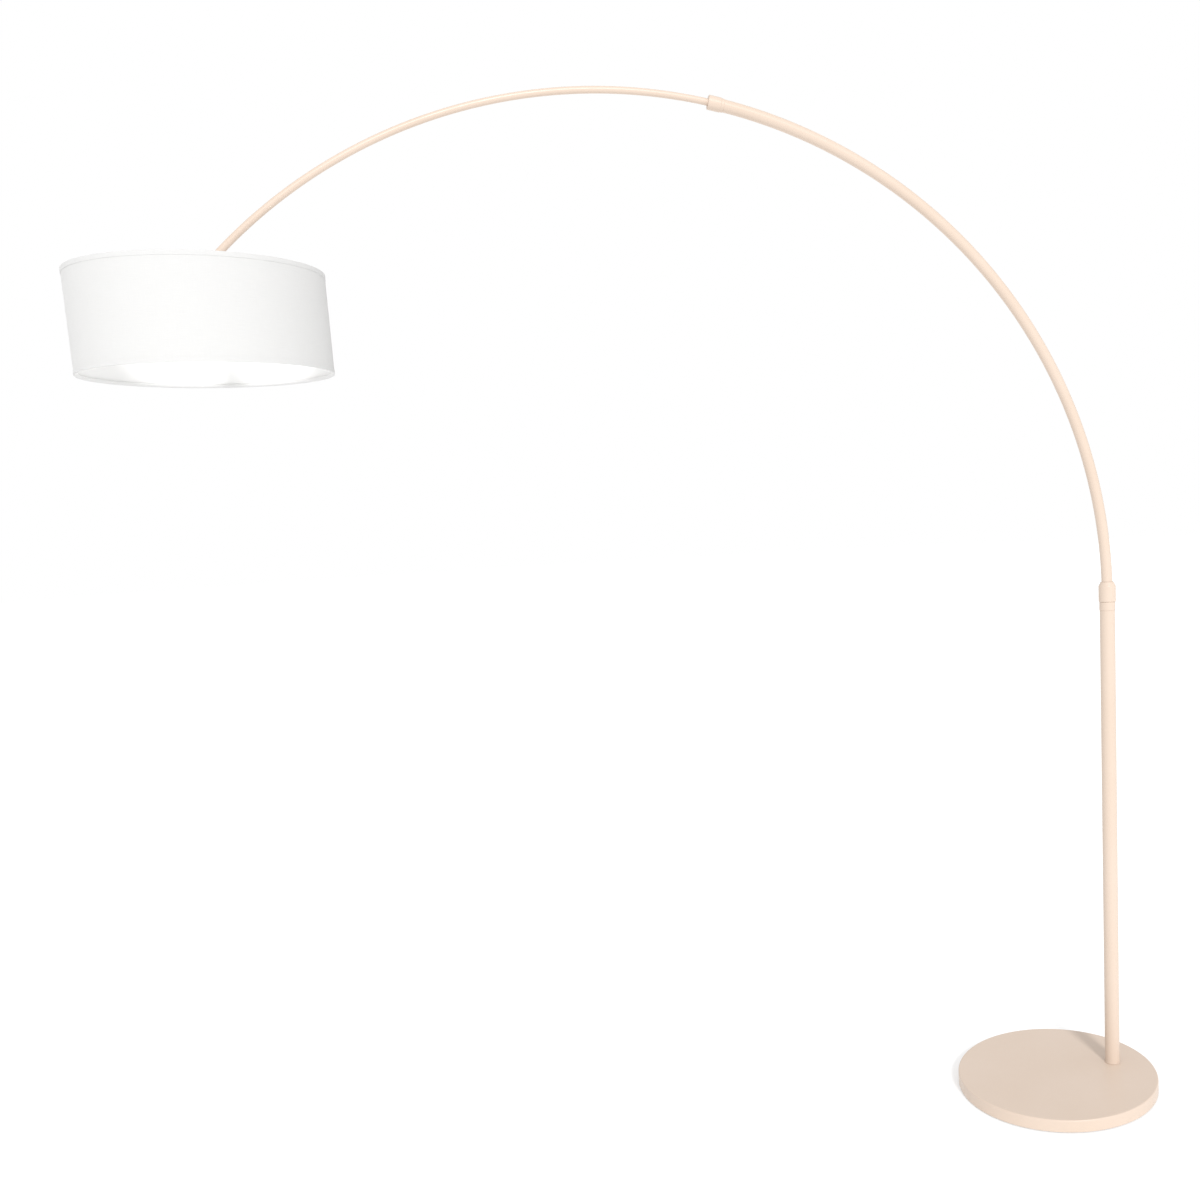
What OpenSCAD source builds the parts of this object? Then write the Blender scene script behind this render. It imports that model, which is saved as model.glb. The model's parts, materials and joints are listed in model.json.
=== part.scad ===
// Arc floor lamp: a weighted round base, a pole, a telescopic bent arm and a hanging drum shade.
// Millimetres. The origin is the centre of the base on the floor, +Z is up, and the arm lies in
// the XZ plane and reaches towards -X.

/* [Base] */
// Outer diameter of the base
base_d = 475; // [430:5:520]
// Height of the base from the floor to its top face
base_h = 31; // [30:0.5:34]
// Radius of the base's upper edge
base_edge = 3; // [2:0.5:5]
// Thickness of the pad under the base
pad_t = 2; // [1.5:0.5:3]
// Thickness of the sheet steel of the base's cover
cover_t = 2; // [1.5:0.5:2]
// Thickness of the cast weight's plate
weight_t = 8; // [7:0.5:14]

/* [Pole] */
// Distance from the base's centre to the pole's axis
pole_x = 150; // [120:5:160]
// Outer diameter of the pole
pole_d = 35; // [34:1:38]
// Wall of the pole
pole_wall = 1.5; // [1:0.25:2]
// Height of the pole's upper end
pole_top = 1150; // [1000:10:1200]
// Diameter of the turning collar on the pole
pole_nut_d = 39.5; // [39:0.5:44]

/* [Arm] */
// Radius of the arm's bend, at the tube's axis
arc_r = 1080; // [1050:2:1120]
// Outer diameter of the arm's tube
tube_d = 25; // [24:1:26]
// Wall of the arm's tube
tube_wall = 1.5; // [1:0.25:1.5]
// Length of the straight end that stands in the pole
spigot_l = 336; // [300:4:360]
// Angle of the bend at which the tube ends
tube_end = 77.8; // [70:0.2:80]
// Outer diameter of the rod that slides in the tube
rod_d = 14; // [14:1:15]
// Wall of the rod
rod_wall = 1.5; // [1:0.25:2]
// Angle of the bend at which the rod's hidden end lies
rod_start = 64; // [60:1:66]
// Horizontal reach from the pole to the shade's axis
reach = 1880; // [1800:10:1950]
// Diameter of the turning collar on the arm
arc_nut_d = 28.5; // [28:0.5:32]

/* [Shade] */
// Outer diameter of the drum
shade_d = 450; // [400:10:500]
// Height of the drum
shade_h = 186; // [180:2:220]
// Height of the drum's upper edge above the joint it hangs from
shade_rise = 3; // [0:1:20]
// Thickness of the fabric
fabric_t = 0.7; // [0.5:0.1:1]
// Thickness of the stiff film behind the fabric
liner_t = 0.5; // [0.4:0.1:0.6]
// Diameter of the wire of the shade's rings and arms
wire_d = 4; // [3:0.5:5]

/* [Bulb] */
// Diameter of the bulb's glass
bulb_d = 45; // [42:1:46]
// Length of the bulb from its contact to its lowest point
bulb_l = 78; // [78:2:90]

/* [Hidden] */
$fn = 96;

cream = "#ecd5c5";
linen = "#f7f5f2";
plastic = "#f4f2ee";
zinc = "#b8babd";
black = "#2b2b2b";

eps = 0.01;                        // how far a cut runs past a face
run = 0.06;                        // radial clearance of a turning or sliding fit
lead_r = 3;                        // radius of the lead inside the tubes
base_r = base_d / 2;
cover_inner = base_r - cover_t;
cover_under = base_h - cover_t;    // height of the cover's underside
boss_r = 42;                       // the weight's boss under the pole
pocket_r = 19;                     // the nut's pocket in that boss
pocket_top = base_h - 6;
slot_w = 18;                       // the lead's slot in the weight
slot_top = 21;
gland_z = 9.4;                     // height of the lead and of its gland
lead_bend = 10;                    // bend of the lead under the pole
stud_r = 6;
stud_bore = 3.75;
foot_t = 3;                        // ring between the base and the pole
foot_z = base_h + foot_t;
pole_r = pole_d / 2;
pole_in = pole_r - pole_wall;
ferrule_r = pole_r + 0.8;
nut_z = pole_top + 20;             // lower face of the pole's collar
nut_h = 46;
thread_r = 16.5;                   // the pole ferrule's thread
collet_top = nut_z + 20;
tube_r = tube_d / 2;
tube_in = tube_r - tube_wall;
rod_r = rod_d / 2;
rod_in = rod_r - rod_wall;
arc_x = pole_x - arc_r;            // centre of the bend
arc_z = pole_top + 38;
spigot_z = arc_z - spigot_l;       // lower end of the spigot
bush_z = spigot_z + 12;
bush_h = 40;
mm_deg = 180 / PI / arc_r;         // degrees of the bend per millimetre along it
collar_mid = tube_end + 20 * mm_deg;
tip = acos(1 - reach / arc_r);     // angle of the bend at the joint above the shade
pivot_x = pole_x - reach;
pivot_z = arc_z + arc_r * sin(tip);
cheek_in = 5;                      // half the gap between the fork's cheeks
cheek_out = 8.5;
lug_half = 4;                      // half the thickness of the lug in that gap
pin_r = 2.5;
shade_r = shade_d / 2;
shade_top = pivot_z + shade_rise;
shade_low = shade_top - shade_h;
liner_out = shade_r - fabric_t;
wire_r = wire_d / 2;
ring_r = liner_out - liner_t - wire_r - 0.2;
hem_h = 8;
hem_t = 0.6;
hub_z = pivot_z - 56;              // underside of the spider's hub
hub_t = 2;
holder_r = 19.3;
bulb_tip = pivot_z - 48;           // the bulb's contact
bulb_low = bulb_tip - bulb_l;

// A pipe or, with ri = 0, a bar along Z.
module pipe(ro, ri, z0, z1) {
    translate([0, 0, z0])
    difference() {
        cylinder(r = ro, h = z1 - z0);
        if (ri > 0) translate([0, 0, -eps]) cylinder(r = ri, h = z1 - z0 + 2 * eps);
    }
}

// A bent pipe or bar that follows the arm from angle a0 to angle a1.
module bent(ro, ri, a0, a1) {
    translate([arc_x, 0, arc_z]) rotate([0, -a0, 0]) rotate([90, 0, 0])
    rotate_extrude(angle = a1 - a0, $fn = 360) translate([arc_r, 0])
    difference() {
        circle(r = ro);
        if (ri > 0) circle(r = ri);
    }
}

// Puts children on the arm at an angle of its bend, with Z along the arm and X outwards.
module on_arc(angle) {
    translate([arc_x + arc_r * cos(angle), 0, arc_z + arc_r * sin(angle)])
    rotate([0, -angle, 0]) children();
}

// A disc from z0 to z1 with a rounded upper edge.
module rounded_disc(r, z0, z1, edge) {
    rotate_extrude($fn = 180)
    difference() {
        translate([0, z0]) square([r, z1 - z0]);
        translate([r - edge, z1 - edge]) difference() {
            square(edge + 1);
            circle(r = edge);
        }
    }
}

// ---- base ----

module base_cover() {
    color(cream)
    difference() {
        rounded_disc(base_r, pad_t, base_h, base_edge);
        translate([0, 0, pad_t - eps]) cylinder(r = cover_inner, h = cover_under - pad_t + eps);
        translate([pole_x, 0, 0]) cylinder(r = stud_r + 0.3, h = base_h + 1);
        translate([cover_inner - 5, 0, gland_z]) rotate([0, 90, 0]) cylinder(r = 6, h = 12);
    }
}

module base_weight() {
    weight_r = cover_inner - 0.5;
    color("#55504c")
    difference() {
        union() {
            pipe(weight_r, 0, pad_t, pad_t + weight_t);
            pipe(weight_r, weight_r - 24, pad_t, cover_under);
            translate([pole_x, 0, 0]) pipe(boss_r, 0, pad_t, cover_under);
        }
        translate([pole_x, 0, pad_t - 1]) cylinder(r = pocket_r, h = pocket_top - pad_t + 1);
        translate([pole_x, 0, 0]) cylinder(r = stud_r + 0.3, h = base_h);
        translate([pole_x, -slot_w / 2, pad_t - 1]) cube([base_r, slot_w, slot_top - pad_t + 1]);
    }
}

module base_pad() {
    color("#3a3836") pipe(base_r - 5, 0, 0, pad_t);
}

module cable_gland() {
    color(plastic)
    translate([0, 0, gland_z]) rotate([0, 90, 0])
    difference() {
        union() {
            pipe(5.9, 0, cover_inner - 16.5, base_r);
            pipe(7.5, 0, base_r, base_r + 2);
            translate([0, 0, base_r + 2]) cylinder(r1 = 7.5, r2 = 6.5, h = 1);
        }
        translate([0, 0, cover_inner - 20]) cylinder(r = 3.6, h = 40);
    }
}

// ---- pole ----

module pole_foot_ring() {
    color(cream) translate([pole_x, 0, 0]) pipe(pole_r + 1, stud_r + 0.3, base_h, foot_z);
}

module pole_plug() {
    color(zinc) translate([pole_x, 0, 0]) pipe(pole_in, stud_r, foot_z, foot_z + 30);
}

module pole_stud() {
    color(zinc) translate([pole_x, 0, 0]) pipe(stud_r, stud_bore, pocket_top - 6.8, foot_z + 28);
}

module pole_washer() {
    color(zinc) translate([pole_x, 0, 0]) pipe(15, stud_r + 0.3, pocket_top - 2, pocket_top);
}

module stud_nut() {
    color(zinc)
    translate([pole_x, 0, pocket_top - 6])
    difference() {
        cylinder(d = 19 / cos(30), h = 4, $fn = 6);
        translate([0, 0, -eps]) cylinder(r = stud_r, h = 5);
    }
}

module pole_tube() {
    color(cream) translate([pole_x, 0, 0]) pipe(pole_r, pole_in, foot_z, pole_top);
}

// The threaded end of the pole, with the seat of the collet in it.
module pole_ferrule() {
    color(cream)
    translate([pole_x, 0, 0])
    difference() {
        union() {
            pipe(pole_in, 0, pole_top - 40, pole_top);
            pipe(ferrule_r, 0, pole_top, nut_z - 0.3);
            pipe(thread_r, 0, nut_z - 0.3, collet_top - 4);
        }
        translate([0, 0, pole_top - 41]) cylinder(r = tube_r + 0.5, h = 100);
        translate([0, 0, nut_z - 12]) cylinder(r = 14.4, h = 100);
    }
}

// A split nylon ring that the collar presses onto the arm's spigot.
module pole_collet() {
    color(plastic)
    translate([pole_x, 0, 0])
    difference() {
        union() {
            pipe(14.3, 0, nut_z - 12, collet_top - 4);
            pipe(15.8, 0, collet_top - 4, collet_top);
        }
        translate([0, 0, nut_z - 20]) cylinder(r = tube_r + run, h = 60);
        translate([tube_r - 1, -0.75, nut_z - 20]) cube([10, 1.5, 60]);
    }
}

module pole_nut() {
    color(cream)
    translate([pole_x, 0, nut_z])
    difference() {
        rotate_extrude()
        polygon([[0, 0], [pole_nut_d / 2 - 0.6, 0], [pole_nut_d / 2, 0.6], [pole_nut_d / 2, 36],
            [pole_nut_d / 2 - 1.2, 38.8], [tube_r + 2, nut_h - 1], [tube_r + 1.4, nut_h], [0, nut_h]]);
        translate([0, 0, -eps]) cylinder(r = thread_r + run, h = 17);
        translate([0, 0, 16]) cylinder(r = 16.2, h = 4.4);
        translate([0, 0, 20]) cylinder(r = tube_r + 0.8, h = nut_h);
    }
}

// The lead from the gland under the base to the top of the pole.
module stand_cable() {
    color(black) {
        translate([pole_x, 0, 0]) pipe(lead_r, 0, gland_z + lead_bend, spigot_z - 6);
        translate([pole_x + lead_bend, 0, gland_z + lead_bend]) rotate([-90, 0, 0])
            rotate([0, 0, 90]) rotate_extrude(angle = 90, $fn = 96)
            translate([lead_bend, 0]) circle(r = lead_r);
        translate([pole_x + lead_bend, 0, gland_z]) rotate([0, 90, 0])
            cylinder(r = lead_r, h = cover_inner - 22 - pole_x - lead_bend);
    }
}

// ---- arm ----

module guide_bush() {
    color(plastic)
    translate([pole_x, 0, 0]) pipe(pole_in - run, tube_r + run, bush_z, bush_z + bush_h);
}

// Two rings crimped on the spigot, which keep the bush in place and let the spigot turn in it.
module bush_clips() {
    color(zinc)
    translate([pole_x, 0, 0])
    for (z = [bush_z - 2.2, bush_z + bush_h + 0.2]) pipe(14.6, tube_r, z, z + 2);
}

module arc_tube() {
    color(cream) {
        translate([pole_x, 0, 0]) pipe(tube_r, tube_in, spigot_z, arc_z);
        bent(tube_r, tube_in, 0, tube_end);
    }
}

// The threaded end of the arm's tube, with the seat of the rod's collet in it.
module arc_ferrule() {
    color(cream)
    difference() {
        union() {
            bent(tube_in - 0.1, 0, tube_end - 14 * mm_deg, tube_end + mm_deg);
            bent(tube_r + 0.9, 0, tube_end, tube_end + 7.7 * mm_deg);
            on_arc(collar_mid) pipe(12, 0, -12.6, -2);
        }
        bent(rod_r + 0.6, 0, collar_mid - 2.2, collar_mid + 2);
        on_arc(collar_mid) translate([0, 0, -12]) cylinder(r = 9.6, h = 12);
    }
}

module arc_collet() {
    color(plastic)
    difference() {
        on_arc(collar_mid) {
            pipe(9.5, 0, -12, -2);
            pipe(11, 0, -2, 1.5);
        }
        bent(rod_r + 0.1, 0, collar_mid - 2, collar_mid + 2);
        on_arc(collar_mid) translate([rod_r - 1, -0.6, -14]) cube([6, 1.2, 20]);
    }
}

module arc_nut() {
    color(cream)
    on_arc(collar_mid)
    difference() {
        rotate_extrude()
        polygon([[0, -12], [arc_nut_d / 2 - 0.5, -12], [arc_nut_d / 2, -11.5], [arc_nut_d / 2, 13],
            [arc_nut_d / 2 - 1, 15.2], [rod_r + 2, 20.4], [rod_r + 1.2, 21], [0, 21]]);
        translate([0, 0, -12 - eps]) cylinder(r = 12 + run, h = 10.6);
        translate([0, 0, -2]) cylinder(r = 11.4, h = 3.9);
        translate([0, 0, -13]) cylinder(r = rod_r + 0.8, h = 40);
    }
}

// The lead through the spigot and the lower half of the bend.
module arc_cable() {
    color(black) {
        translate([pole_x, 0, 0]) pipe(lead_r, 0, spigot_z + 4, arc_z);
        bent(lead_r, 0, 0, 50);
    }
}

// ---- rod and the joint at its end ----

module rod_tube() {
    color(cream) bent(rod_r, rod_in, rod_start, tip - 22 * mm_deg);
}

module rod_guide() {
    color(plastic) bent(tube_in - 0.1, rod_r, rod_start + 0.2, rod_start + 1.8);
}

// The fork: a socket on the rod's end and two cheeks.
module rod_end() {
    color(cream)
    difference() {
        on_arc(tip) {
            difference() {
                union() {
                    pipe(9.5, 0, -40, -16);
                    translate([0, 0, -18]) cylinder(r1 = 9.5, r2 = 8.5, h = 4);
                    translate([-8, -cheek_out, -17]) cube([16, 2 * cheek_out, 17]);
                    rotate([90, 0, 0]) cylinder(r = 8, h = 2 * cheek_out, center = true);
                }
                translate([-12, -cheek_in, -9.5]) cube([24, 2 * cheek_in, 24]);
                rotate([90, 0, 0]) cylinder(r = pin_r, h = 40, center = true);
                translate([0, 0, -23]) cylinder(r = 3.4, h = 20);
            }
        }
        bent(rod_r, 0, tip - 46 * mm_deg, tip - 22 * mm_deg);
    }
}

module knuckle_screw() {
    color(zinc)
    translate([pivot_x, 0, pivot_z]) rotate([90, 0, 0]) {
        pipe(pin_r, 0, -cheek_out - 4.5, cheek_out);
        difference() {
            pipe(4.75, 0, cheek_out, cheek_out + 3);
            translate([0, 0, cheek_out + 1.2]) cylinder(d = 3.4, h = 4, $fn = 6);
        }
    }
}

module knuckle_nut() {
    color(zinc)
    translate([pivot_x, cheek_out, pivot_z]) rotate([-90, 0, 0])
    difference() {
        cylinder(d = 8 / cos(30), h = 4, $fn = 6);
        translate([0, 0, -eps]) cylinder(r = pin_r, h = 5);
    }
}

module knuckle_washers() {
    color(plastic)
    translate([pivot_x, 0, pivot_z]) rotate([90, 0, 0]) {
        pipe(6.5, pin_r, -cheek_in, -lug_half - 0.1);
        pipe(6.5, pin_r, lug_half + 0.1, cheek_in);
    }
}

module rod_cable() {
    color(black) bent(lead_r, 0, rod_start + 0.3, tip - 24 * mm_deg);
}

// ---- lampholder ----

module knuckle_lug() {
    color(cream)
    translate([pivot_x, 0, pivot_z])
    difference() {
        union() {
            rotate([90, 0, 0]) cylinder(r = 7.5, h = 2 * lug_half, center = true);
            translate([-7.5, -lug_half, -18]) cube([15, 2 * lug_half, 18]);
            pipe(9, 0, -20, -16);
            pipe(4.9, 0, -25, -20);
        }
        rotate([90, 0, 0]) cylinder(r = pin_r + 0.05, h = 20, center = true);
        translate([0, 0, -30]) cylinder(r = lead_r + 0.1, h = 21);
    }
}

module holder_cap() {
    color(plastic)
    translate([pivot_x, 0, pivot_z])
    difference() {
        rotate_extrude()
        polygon([[0, -20], [12, -20], [16, -21], [19, -24], [20, -28], [20, -38], [0, -38]]);
        translate([0, 0, -39]) cylinder(r = 18, h = 14);
        translate([0, 0, -26]) cylinder(r = 5, h = 10);
    }
}

module holder_body() {
    color(plastic)
    translate([pivot_x, 0, pivot_z])
    difference() {
        union() {
            pipe(holder_r, 0, -84, -38);
            pipe(26, 0, -54, -50);
        }
        translate([0, 0, -85]) cylinder(r = 13.8, h = 39);
        translate([0, 0, -47]) cylinder(r = 16, h = 10);
    }
}

// The ceramic insert and its centre contact.
module holder_insert() {
    color(plastic)
    translate([pivot_x, 0, pivot_z]) {
        pipe(15.9, 0, -46, -40);
        pipe(4, 0, -47.9, -46);
    }
}

module holder_shell() {
    color("#c9a860") translate([pivot_x, 0, pivot_z]) pipe(13.75, 13.35, -74, -46);
}

module shade_ring_nut() {
    color(plastic)
    translate([pivot_x, 0, pivot_z]) {
        pipe(27, holder_r, -60, -56);
        pipe(23, holder_r, -66, -60);
    }
}

module head_cable() {
    color(black) translate([pivot_x, 0, pivot_z]) pipe(lead_r, 0, -39.5, -9.5);
}

module bulb_cap() {
    color(zinc)
    translate([pivot_x, 0, bulb_tip]) {
        pipe(13.2, 0, -25, -5);
        translate([0, 0, -5]) cylinder(r1 = 13.2, r2 = 5, h = 4);
        pipe(4.5, 0, -1, 0);
    }
}

// The glass: a globe and the neck that stands in the cap.
module bulb_glass() {
    color("#fdfbf6", 0.9)
    translate([pivot_x, 0, bulb_low + bulb_d / 2]) {
        sphere(d = bulb_d);
        cylinder(r1 = bulb_d / 2 - 3, r2 = 13, h = bulb_l - 38 - bulb_d / 2);
        pipe(13, 0, bulb_l - 38 - bulb_d / 2, bulb_l - 25 - bulb_d / 2);
    }
}

// ---- shade ----

// One ring of wire inside the drum.
module wire_ring(z) {
    translate([pivot_x, 0, z]) rotate_extrude($fn = 180) translate([ring_r, 0]) circle(r = wire_r);
}

module shade_spider() {
    top_z = shade_top - wire_r - 2;
    rise = top_z - hub_z - hub_t / 2;
    hub_r = 30;
    color(zinc) {
        wire_ring(top_z);
        translate([pivot_x, 0, 0]) pipe(hub_r + 2, holder_r + 0.3, hub_z, hub_z + hub_t);
        for (a = [60, 180, 300])
            translate([pivot_x, 0, hub_z + hub_t / 2]) rotate([0, 0, a]) translate([hub_r, 0, 0])
            rotate([0, atan2(ring_r - hub_r, rise), 0])
            cylinder(r = wire_r - 0.4, h = norm([ring_r - hub_r, rise]));
    }
}

module shade_bottom_ring() {
    color(zinc) wire_ring(shade_low + wire_r + 2);
}

module shade_fabric() {
    color(linen) translate([pivot_x, 0, 0]) pipe(shade_r, liner_out, shade_low, shade_top);
}

module shade_liner() {
    color("#fbfaf8")
    translate([pivot_x, 0, 0]) pipe(liner_out, liner_out - liner_t, shade_low, shade_top);
}

// The strip of fabric that is folded over an edge of the drum, from z0 inside to z1 outside.
module hem(z0, z1) {
    color(linen)
    translate([pivot_x, 0, 0]) pipe(shade_r + hem_t, shade_r, z0, z1);
}

module shade_top_hem() {
    hem(shade_top - hem_h, shade_top);
}

module shade_bottom_hem() {
    hem(shade_low, shade_low + hem_h);
}

base_cover();
base_weight();
base_pad();
cable_gland();
pole_foot_ring();
pole_plug();
pole_stud();
pole_washer();
stud_nut();
pole_tube();
pole_ferrule();
pole_collet();
stand_cable();
pole_nut();
guide_bush();
arc_tube();
bush_clips();
arc_ferrule();
arc_collet();
arc_cable();
arc_nut();
rod_tube();
rod_guide();
rod_end();
knuckle_screw();
knuckle_nut();
knuckle_washers();
rod_cable();
knuckle_lug();
holder_cap();
holder_body();
holder_insert();
holder_shell();
shade_ring_nut();
head_cable();
bulb_cap();
bulb_glass();
shade_spider();
shade_bottom_ring();
shade_fabric();
shade_liner();
shade_top_hem();
shade_bottom_hem();
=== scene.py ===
"""Arc floor lamp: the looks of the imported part, in Blender.

Everything is in metres in the frame of the CAD model: the origin is the centre of the base on the
floor, +Z is up, and the arm lies in the XZ plane. The tubes, turned parts, holder, bulb and shade
are rebuilt here with finer outlines and real edges. The small hidden parts keep their CAD meshes.
"""
import json
import math

import bmesh
import bpy
from mathutils import Matrix, Vector, noise

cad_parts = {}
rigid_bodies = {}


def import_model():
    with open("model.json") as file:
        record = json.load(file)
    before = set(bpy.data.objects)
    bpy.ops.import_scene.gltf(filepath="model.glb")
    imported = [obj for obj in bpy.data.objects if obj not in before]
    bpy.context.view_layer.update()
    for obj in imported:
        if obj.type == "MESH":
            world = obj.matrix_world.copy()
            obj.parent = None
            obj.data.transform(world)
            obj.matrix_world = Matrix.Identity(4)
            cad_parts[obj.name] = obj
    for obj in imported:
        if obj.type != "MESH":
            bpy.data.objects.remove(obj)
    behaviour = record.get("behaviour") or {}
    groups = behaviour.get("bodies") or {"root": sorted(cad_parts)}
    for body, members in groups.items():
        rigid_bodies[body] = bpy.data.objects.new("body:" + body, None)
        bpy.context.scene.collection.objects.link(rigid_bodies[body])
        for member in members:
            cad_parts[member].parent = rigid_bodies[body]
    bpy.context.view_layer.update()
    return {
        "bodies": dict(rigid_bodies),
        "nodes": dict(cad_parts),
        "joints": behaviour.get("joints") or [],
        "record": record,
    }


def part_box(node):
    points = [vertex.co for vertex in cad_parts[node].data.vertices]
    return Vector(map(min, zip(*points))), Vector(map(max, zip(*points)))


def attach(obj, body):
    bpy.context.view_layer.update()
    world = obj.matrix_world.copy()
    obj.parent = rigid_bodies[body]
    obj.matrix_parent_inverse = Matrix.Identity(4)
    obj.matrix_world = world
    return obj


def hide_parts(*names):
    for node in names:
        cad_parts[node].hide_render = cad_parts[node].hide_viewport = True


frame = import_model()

MM = 0.001
X, Y, Z = Vector((1, 0, 0)), Vector((0, 1, 0)), Vector((0, 0, 1))
FULL_TURN = 2 * math.pi


# ---- sizes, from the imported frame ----

def joint_place(name):
    """Where a joint of the record is."""
    found = [joint for joint in frame["joints"] if joint["name"] == name]
    return Vector(found[0]["pos_m"])


def radius_of(node):
    """Half a node's width across the arm's plane."""
    low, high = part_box(node)
    return (high.y - low.y) / 2


BASE_R = radius_of("base_cover")
BASE_LOW, BASE_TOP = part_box("base_cover")[0].z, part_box("base_cover")[1].z
GLAND_LOW, GLAND_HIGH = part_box("cable_gland")
GLAND_Z = (GLAND_LOW.z + GLAND_HIGH.z) / 2
POLE_LOW, POLE_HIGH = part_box("pole_tube")
POLE_X = (POLE_LOW.x + POLE_HIGH.x) / 2
POLE_R = radius_of("pole_tube")
COLLAR_LOW, COLLAR_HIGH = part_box("pole_nut")
COLLAR_R = radius_of("pole_nut")

ARC_CENTRE = joint_place("rod_telescope")
ARC_R = POLE_X - ARC_CENTRE.x
TUBE_R = radius_of("arc_tube")
SPIGOT_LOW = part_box("arc_tube")[0].z
ARM_COLLAR = joint_place("arm_collar_turn")
ARM_COLLAR_R = radius_of("arc_nut")
ARM_COLLAR_TURN = math.atan2(ARM_COLLAR.z - ARC_CENTRE.z, ARM_COLLAR.x - ARC_CENTRE.x)
COLLAR_PAST_TUBE = 20 * MM                        # from the tube's end to the arm collar's joint
TUBE_END = ARM_COLLAR_TURN * ARC_R - COLLAR_PAST_TUBE     # along the arm's centre line
ROD_R = radius_of("rod_tube")
ROD_START = math.acos((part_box("rod_tube")[1].x - ARC_CENTRE.x) / (ARC_R + ROD_R)) * ARC_R
PIVOT = joint_place("shade_tilt")
TIP_TURN = math.atan2(PIVOT.z - ARC_CENTRE.z, PIVOT.x - ARC_CENTRE.x)

SHADE_LOW, SHADE_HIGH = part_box("shade_fabric")[0].z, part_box("shade_fabric")[1].z
SHADE_R = radius_of("shade_fabric")
WIRE_R = 2 * MM                                   # of the rings' wire
WIRE_RING_R = radius_of("shade_bottom_ring") - WIRE_R
BULB_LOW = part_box("bulb_glass")[0].z
BULB_R = radius_of("bulb_glass")
BULB_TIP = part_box("bulb_cap")[1].z

WALL = 1.5 * MM                                   # of the pole, the arm's tube and the rod
COVER = 2 * MM                                    # sheet steel of the base
CLOTH, FILM = 0.7 * MM, 0.5 * MM                  # the shade's fabric and the film behind it
LAP = 12 * MM                                     # overlap of the fabric's glued seam
LAP_TURN = math.radians(90)                       # where the seam is, round the shade
LAP_RISE, LAP_FALL = 0.03, 0.006                  # radians in which the cloth steps up and down
HOLDER_TOP, HUB_LOW = 20, 56                      # below the pivot, in millimetres

CREASE, SOFT_CREASE = 32, 40                      # degrees; sharper edges stay sharp
ON_AXIS = 1e-7                                    # a smaller radius is a point on the axis
WHITE = (1, 1, 1, 1)


# ---- shapes ----

def rounded(corners, closed=True, steps=5):
    """Points through corners, each (x, y) or (x, y, fillet) or (Vector, fillet), with fillets."""
    share = 0.45                                  # the most of an edge that one fillet takes
    straight = math.radians(89.9)                 # half the angle at a corner that is hardly one
    places, fillets = [], []
    for corner in corners:
        if isinstance(corner[0], Vector):
            places.append(corner[0])
            fillets.append(corner[1])
        else:
            places.append(Vector((corner[0], corner[1], 0)))
            fillets.append(corner[2] if len(corner) > 2 else 0)
    points, count = [], len(places)
    for i, (here, fillet) in enumerate(zip(places, fillets)):
        before, after = places[i - 1] - here, places[(i + 1) % count] - here
        is_end = not closed and i in (0, count - 1)
        half = before.angle(after) / 2
        if fillet <= 0 or is_end or half > straight:
            points.append(here)
            continue
        reach = min(fillet / math.tan(half), share * before.length, share * after.length)
        radius = reach * math.tan(half)
        middle = before.normalized() + after.normalized()
        centre = here + middle.normalized() * radius / math.sin(half)
        start = (here + before.normalized() * reach - centre).normalized()
        end = (here + after.normalized() * reach - centre).normalized()
        for step in range(steps + 1):
            points.append(centre + radius * start.slerp(end, step / steps))
    return points


def held(points, margin=0.4 * MM, longest=None):
    """The closed outline with points close to the ends of its long edges, which keep flat faces
    flat under smooth shading, and with no edge longer than longest."""
    made = []
    for here, after in zip(points, points[1:] + points[:1]):
        made.append(here)
        length = (after - here).length
        if length < 4 * margin:
            continue
        start, end = here.lerp(after, margin / length), here.lerp(after, 1 - margin / length)
        parts = 1 if longest is None else max(1, math.ceil((end - start).length / longest))
        made += [start.lerp(end, k / parts) for k in range(parts + 1)]
    return made


def upright(x, y=0.0):
    """A vertical line to turn an outline about; distances along it are heights."""
    return lambda height: (Vector((x, y, height)), X, Y)


def on_line(origin, axis, side):
    """A line through origin along axis; side is the direction of angle 0."""
    other = axis.cross(side)
    return lambda along: (origin + along * axis, side, other)


def along_arm(distance):
    """The arm's centre line: straight below the bend, and a circle above."""
    if distance <= 0:
        return Vector((POLE_X, 0, ARC_CENTRE.z + distance)), X, Y
    turn = distance / ARC_R
    out = Vector((math.cos(turn), 0, math.sin(turn)))
    return ARC_CENTRE + ARC_R * out, out, Y


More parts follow.
